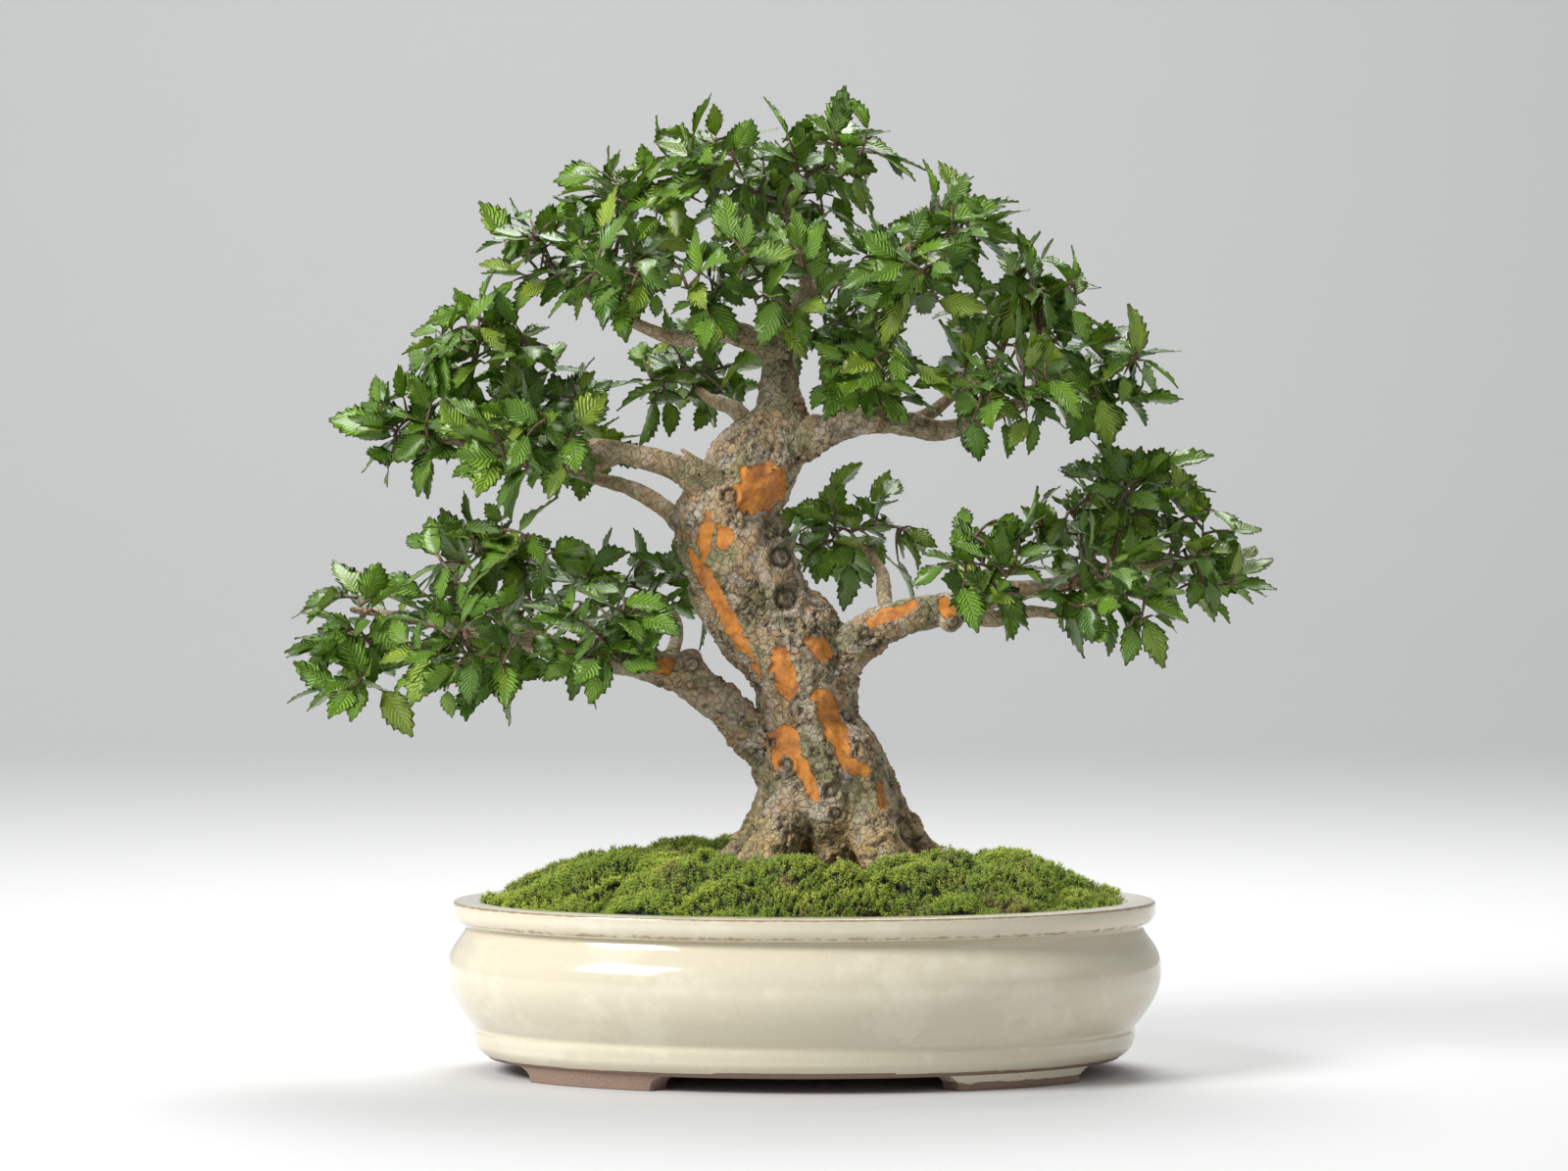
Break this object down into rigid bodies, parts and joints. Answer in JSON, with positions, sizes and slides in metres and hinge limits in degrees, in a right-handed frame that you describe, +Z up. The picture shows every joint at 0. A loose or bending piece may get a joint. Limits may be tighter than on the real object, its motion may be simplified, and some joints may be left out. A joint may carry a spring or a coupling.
{
  "type": "bonsai tree in a pot",
  "caption": "Informal upright elm bonsai with flared surface roots, leafy limbs and moss cushions, standing in a low oval glazed pot on bracket feet.",
  "frame": {"origin": "the middle of the bottom of the part's bounding box, on the plane that the pot's feet stand on", "axes": "+X to the tree's right as seen from its front, +Y to its back, +Z up"},
  "size_m": [0.4478, 0.2356, 0.4274],
  "materials": {
    "glaze": "glossy cream glaze that breaks brown at the edges",
    "screen_mesh": "moulded black mesh",
    "wire": "soft bare wire",
    "grit": "dull baked clay grains",
    "soil": "damp granular soil",
    "moss": "short upright moss",
    "bark": "flaking mottled elm bark",
    "foliage": "glossy serrated leaves"
  },
  "bodies": {
    "root": {"pot": "glaze", "drain_screen_left": "screen_mesh", "screen_wire_left": "wire", "drain_screen_right": "screen_mesh", "screen_wire_right": "wire", "drainage_layer": "grit", "soil": "soil", "moss_front_center": "moss", "moss_front_right": "moss", "moss_left": "moss", "moss_right": "moss", "moss_back_left": "moss", "moss_back_right": "moss", "moss_back_center": "moss", "moss_root_left": "moss", "trunk": "bark", "limb_lower_left": "bark", "limb_back_left": "bark", "limb_lower_right": "bark", "limb_back_right": "bark", "limb_middle_left": "bark", "limb_rear_left": "bark", "limb_upper_back": "bark", "limb_upper_right": "bark", "limb_crown_left": "bark", "limb_crown_right": "bark", "limb_rear": "bark", "shoot_lower_left_tip": "foliage", "shoot_lower_left_front": "foliage", "shoot_lower_left_back": "foliage", "shoot_lower_left_top": "foliage", "shoot_lower_left_inner": "foliage", "shoot_back_left": "foliage", "shoot_middle_left_tip": "foliage", "shoot_middle_left_front": "foliage", "shoot_middle_left_back": "foliage", "shoot_middle_left_top": "foliage", "shoot_rear_left": "foliage", "shoot_upper_back": "foliage", "shoot_crown_left_tip": "foliage", "shoot_crown_left_front": "foliage", "shoot_crown_left_back": "foliage", "shoot_apex_left": "foliage", "shoot_apex_right": "foliage", "shoot_apex_front": "foliage", "shoot_apex_back": "foliage", "shoot_crown_right_tip": "foliage", "shoot_crown_right_front": "foliage", "shoot_rear": "foliage", "shoot_upper_right_tip": "foliage", "shoot_upper_right_top": "foliage", "shoot_upper_right_front": "foliage", "shoot_upper_right_back": "foliage", "shoot_upper_right_inner": "foliage", "shoot_lower_right_tip": "foliage", "shoot_lower_right_top": "foliage", "shoot_lower_right_front": "foliage", "shoot_lower_right_back": "foliage", "shoot_lower_right_inner": "foliage", "shoot_back_right": "foliage"}
  },
  "joints": []
}
